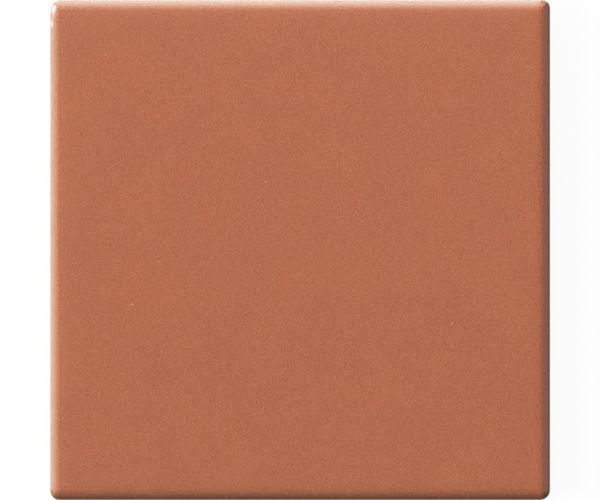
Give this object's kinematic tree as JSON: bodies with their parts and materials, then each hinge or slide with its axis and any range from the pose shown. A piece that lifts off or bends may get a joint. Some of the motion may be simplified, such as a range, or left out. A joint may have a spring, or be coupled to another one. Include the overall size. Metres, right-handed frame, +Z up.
{
  "type": "floor tile",
  "caption": "Square floor tile of fired terracotta-red clay, with a smooth satin wear face, rounded edges and corners, and a shallow pocketed back that keys into mortar or adhesive.",
  "frame": {"origin": "middle of the back, on the plane that the tile is bedded on", "axes": "+Z up through the wear face, X and Y along the sides"},
  "size_m": [0.15, 0.15, 0.012],
  "materials": {
    "fired_clay": "satin"
  },
  "bodies": {
    "root": {"floor_tile": "fired_clay"}
  },
  "joints": []
}
